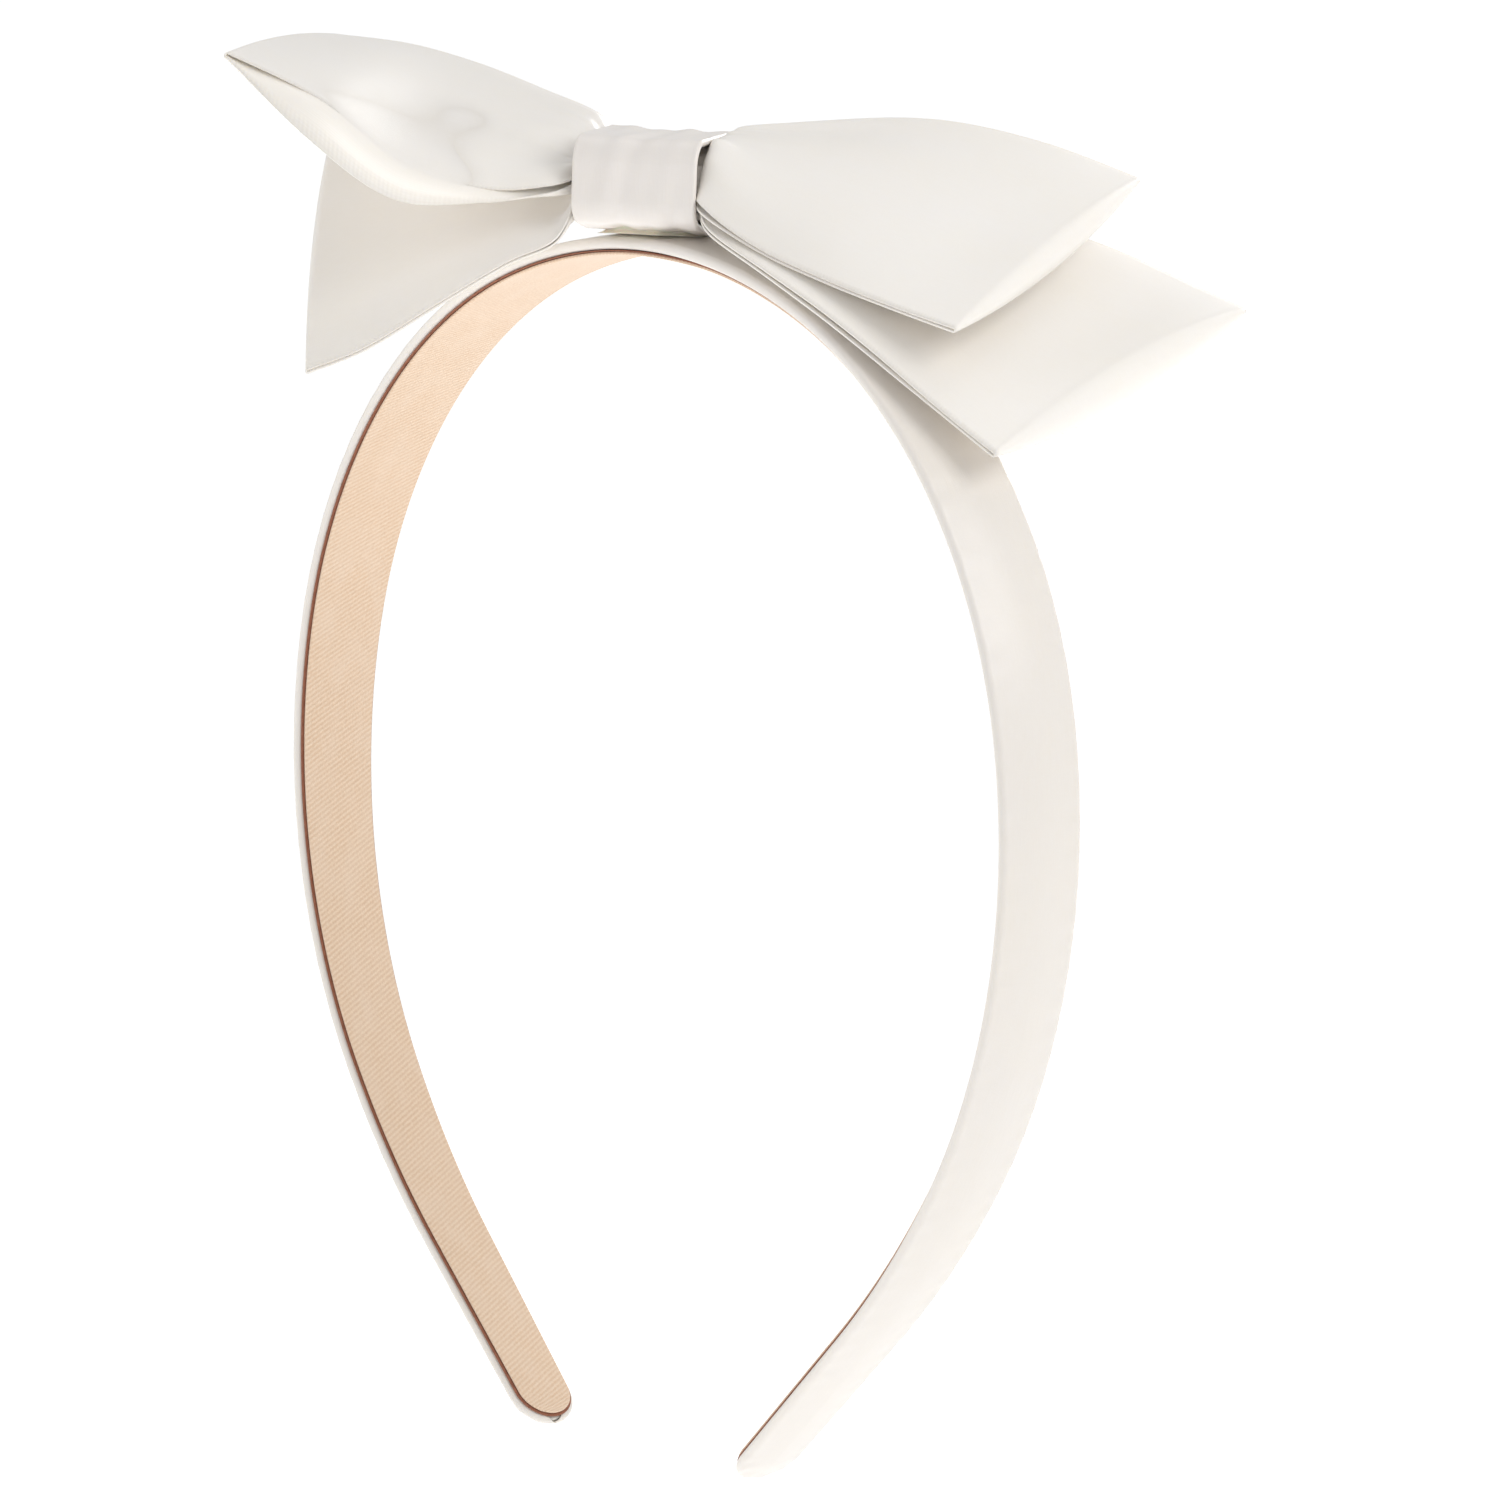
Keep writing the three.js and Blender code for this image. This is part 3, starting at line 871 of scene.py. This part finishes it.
def satin_finish(name, width, painted_shade):
    """Ivory polyester satin: long floats along the cloth, lightened with a painted sheen, and a woven
    selvedge where it has its edges.
    """
    finish = Finish(
        name, Roughness=0.32, Specular_IOR_Level=0.5, Subsurface_Weight=0.15, Subsurface_Scale=0.0012,
        Subsurface_Radius=(1.0, 0.85, 0.6), Coat_Weight=0.2, Coat_Roughness=0.3,
    )
    uv, along, across = finish.cloth()
    floats = finish.cells(uv, 0.35, 1 / SATIN_THREAD, detail=2.0)
    crossing = finish.cells(uv, 1 / CROSS_THREAD, 1.1, detail=2.0)
    cloudy = finish.cells(uv, 0.045, 0.07)
    weave_and_sheen = across.wave(SATIN_THREAD) * 0.35 + floats * 0.9 + crossing * 0.5
    edge = across.math("ABSOLUTE").smooth(width / 2 - SELVEDGE[0], width / 2 - SELVEDGE[1])
    cords = along.wave(CORD_PITCH)
    tone = (cloudy - 0.5) * 1.6 + 0.5
    colour = finish.mix(tone, SATIN_WARM, SATIN_COOL)
    # Painted sheen: the floats are lightened towards a paler colour, as if they caught the light.
    colour = finish.mix(weave_and_sheen.smooth(0.3, 1.5) * 0.5, colour, SATIN_PAINTED_SHEEN)
    colour = finish.mix(edge * (cords * 0.5 + 0.3) * 0.35, colour, SELVEDGE_CORDS)
    # The shade multiplied in here is painted shade on the band's and the knot's satin; the ribbon's stays
    # unshaded.
    finish.drive("Base Color", finish.mix(1.0, colour, painted_shade, "MULTIPLY"))
    finish.drive("Roughness", (floats - 0.5) * 0.16 + (cloudy - 0.5) * 0.1 + edge * 0.12 + 0.36)
    finish.relief(weave_and_sheen + edge * cords * 1.6, strength=0.35, distance=0.00003)
    return finish.material


PEACH_DEEP = (0.74, 0.53, 0.365)
PEACH_PALE = (0.88, 0.71, 0.55)
PEACH_WORN = (0.86, 0.70, 0.56)
TWILL_PITCH = 0.62
TWILL_SLANT = 0.55


def lining_finish():
    """Peach tape with a brushed nap over a fine twill."""
    finish = Finish(
        "lining_tape_peach", Roughness=0.92, Specular_IOR_Level=0.25, Sheen_Weight=0.35,
        Sheen_Roughness=0.5,
    )
    uv, along, across = finish.cloth()
    nap = finish.cells(uv, 2.6, 3.4, 4.0, 0.65)
    fine = finish.cells(uv, 7.0, 7.0, 3.0, 0.6)
    patches = finish.cells(uv, 0.16, 0.3)
    twill = (along + across * TWILL_SLANT).wave(TWILL_PITCH)
    tone = nap * 0.6 + fine * 0.3 + twill * 0.2
    colour = finish.mix(tone.smooth(0.35, 0.8), PEACH_DEEP, PEACH_PALE)
    colour = finish.mix((patches - 0.35).smooth(0.0, 0.4) * 0.35, colour, PEACH_WORN)
    finish.drive("Base Color", colour)
    finish.drive("Roughness", nap * 0.12 + 0.84)
    finish.relief(nap * 0.8 + twill * 0.7 + fine * 0.5, strength=0.6, distance=0.00008)
    return finish.material


def backing_finish():
    """Red-brown edge of the stiffening under the lining."""
    finish = Finish("lining_backing_red_brown", Roughness=0.75, Specular_IOR_Level=0.3)
    uv, _, _ = finish.cloth()
    fibres = finish.cells(uv, 1.2, 6.0, 4.0)
    dark = (0.22, 0.085, 0.05)
    light = (0.36, 0.15, 0.09)
    finish.drive("Base Color", finish.mix(fibres.smooth(0.3, 0.7), dark, light))
    finish.drive("Roughness", fibres * 0.2 + 0.62)
    finish.relief(fibres, strength=0.5, distance=0.00005)
    return finish.material


def plastic_finish():
    """Moulded off-white plastic, slightly clouded."""
    finish = Finish("band_core_plastic", Roughness=0.42, Specular_IOR_Level=0.5)
    uv, _, _ = finish.cloth()
    flow = finish.cells(uv, 0.05, 0.4)
    grain = finish.cells(uv, 4.0, 4.0)
    finish.drive("Base Color", finish.mix(flow, (0.80, 0.77, 0.70), (0.86, 0.84, 0.79)))
    finish.drive("Roughness", grain * 0.12 + 0.36)
    finish.relief(grain, strength=0.3, distance=0.00002)
    return finish.material


def thread_finish():
    """White sewing thread, each ply of fine fibres."""
    finish = Finish("gathering_thread_cotton", Roughness=0.7, Sheen_Weight=0.3)
    fibre = finish.noise(finish.place(), 14000.0)
    finish.drive("Base Color", finish.mix(fibre, (0.84, 0.80, 0.72), (0.93, 0.91, 0.86)))
    finish.drive("Roughness", fibre * 0.2 + 0.6)
    finish.relief(fibre, strength=0.5, distance=0.00003)
    return finish.material


def glue_finish():
    """Cloudy hot glue."""
    finish = Finish(
        "glue_pad_hot_glue", Roughness=0.3, Specular_IOR_Level=0.5, Subsurface_Weight=0.15,
        Subsurface_Scale=0.002,
    )
    cloud = finish.noise(finish.place(), 900.0)
    finish.drive("Base Color", finish.mix(cloud, (0.80, 0.74, 0.60), (0.88, 0.84, 0.74)))
    finish.drive("Roughness", cloud * 0.2 + 0.22)
    finish.relief(cloud, strength=0.4, distance=0.0002)
    return finish.material


def floor_finish():
    """A pale floor that glows a little, so that it stays white."""
    finish = Finish("studio_floor", Roughness=0.9, Specular_IOR_Level=0.1, Emission_Strength=0.5)
    grain = finish.noise(finish.place(), 3.0)
    colour = finish.mix(grain, (0.93, 0.93, 0.93), (0.95, 0.95, 0.95))
    finish.drive("Base Color", colour)
    finish.drive("Emission Color", colour)
    return finish.material


# ---------------------------------------------------------------- studio

CAMERA_AZIMUTH = math.radians(51.096)
CAMERA_ELEVATION = math.radians(7.696)
CAMERA_ROLL = math.radians(1.904)
CAMERA_AIM = Vector((13.47, 0.0, -54.82)) * MM
CAMERA_DISTANCE = 1.5
CAMERA_LENS = 318.45
CAMERA_SENSOR = 36.0
CAMERA_CLIP = (0.05, 60.0)

# Each softbox: its place, the point that it aims at, its size, its power in watts and its colour.
SOFTBOXES = dict(
    key_right=((0.32, 0.10, 0.22), (0.02, 0.0, -0.01), (0.20, 0.24), 0.55, (1.0, 0.985, 0.96)),
    rim_back=((-0.52, 1.05, 0.30), (0.0, 0.0, -0.02), (0.45, 0.45), 3.5, (1.0, 1.0, 1.0)),
    top=((-0.15, 0.25, 1.0), (0.0, 0.0, -0.03), (0.8, 0.6), 1.2, (1.0, 1.0, 1.0)),
    front_left=((-0.85, -1.0, 0.35), (0.0, 0.0, -0.03), (0.7, 0.8), 3.0, (1.0, 0.98, 0.97)),
)
SKY_STRENGTH = 0.62
FLOOR_HALF = 12.0
FLOOR_LEVEL = -0.32


def make_camera():
    towards = Vector((
        math.sin(CAMERA_AZIMUTH) * math.cos(CAMERA_ELEVATION),
        -math.cos(CAMERA_AZIMUTH) * math.cos(CAMERA_ELEVATION),
        math.sin(CAMERA_ELEVATION),
    ))
    level = Vector((math.cos(CAMERA_AZIMUTH), math.sin(CAMERA_AZIMUTH), 0.0))
    upright = towards.cross(level)
    right = level * math.cos(CAMERA_ROLL) + upright * math.sin(CAMERA_ROLL)
    up = upright * math.cos(CAMERA_ROLL) - level * math.sin(CAMERA_ROLL)
    data = bpy.data.cameras.new("camera")
    data.lens = CAMERA_LENS
    data.sensor_width = CAMERA_SENSOR
    data.clip_start, data.clip_end = CAMERA_CLIP
    camera = bpy.data.objects.new("camera", data)
    turned = Matrix((right, up, towards)).transposed().to_4x4()
    camera.matrix_world = Matrix.Translation(CAMERA_AIM + towards * CAMERA_DISTANCE) @ turned
    bpy.context.scene.collection.objects.link(camera)
    bpy.context.scene.camera = camera


def softbox(name, place, aim, size, watts, colour):
    data = bpy.data.lights.new(name, "AREA")
    data.shape = "RECTANGLE"
    data.size, data.size_y = size
    data.energy = watts
    data.color = colour
    light = bpy.data.objects.new(name, data)
    direction = Vector(aim) - Vector(place)
    light.rotation_euler = direction.to_track_quat("-Z", "Y").to_euler()
    light.location = place
    bpy.context.scene.collection.objects.link(light)


def make_floor():
    half = FLOOR_HALF / MM
    level = FLOOR_LEVEL / MM
    corners = [(-half, -half, level), (half, -half, level), (half, half, level), (-half, half, level)]
    floor = piece("floor", corners, [(0, 1, 2, 3)])
    floor.data.materials.append(floor_finish())


def make_studio():
    for name, settings in SOFTBOXES.items():
        softbox(name, *settings)
    world = bpy.data.worlds.new("studio")
    world.use_nodes = True
    sky = world.node_tree.nodes["Background"]
    sky.inputs["Color"].default_value = (1.0, 1.0, 1.0, 1.0)
    sky.inputs["Strength"].default_value = SKY_STRENGTH
    bpy.context.scene.world = world
    make_floor()
    bpy.context.scene.view_settings.view_transform = "Standard"


def make_headband():
    ribbon = satin_finish("ribbon_satin", RIBBON_WIDTH, RIBBON_SHADE)
    band = satin_finish("band_satin", UNCUT_WIDTH, BAND_PAINTED_SHADE)
    strip = satin_finish("knot_satin", UNCUT_WIDTH, KNOT_PAINTED_SHADE)
    make_band_core(plastic_finish())
    make_satin_cover(band)
    make_backing(backing_finish())
    make_lining(lining_finish())
    make_bow_loop("lower_ribbon", "bow_lower_loop", LOWER_LEFT, LOWER_RIGHT, ribbon)
    make_bow_loop("upper_ribbon", "bow_upper_loop", UPPER_LEFT, UPPER_RIGHT, ribbon)
    make_knot_wrap(strip)
    make_thread(thread_finish())
    make_glue_pad(glue_finish())


make_camera()
make_headband()
make_studio()
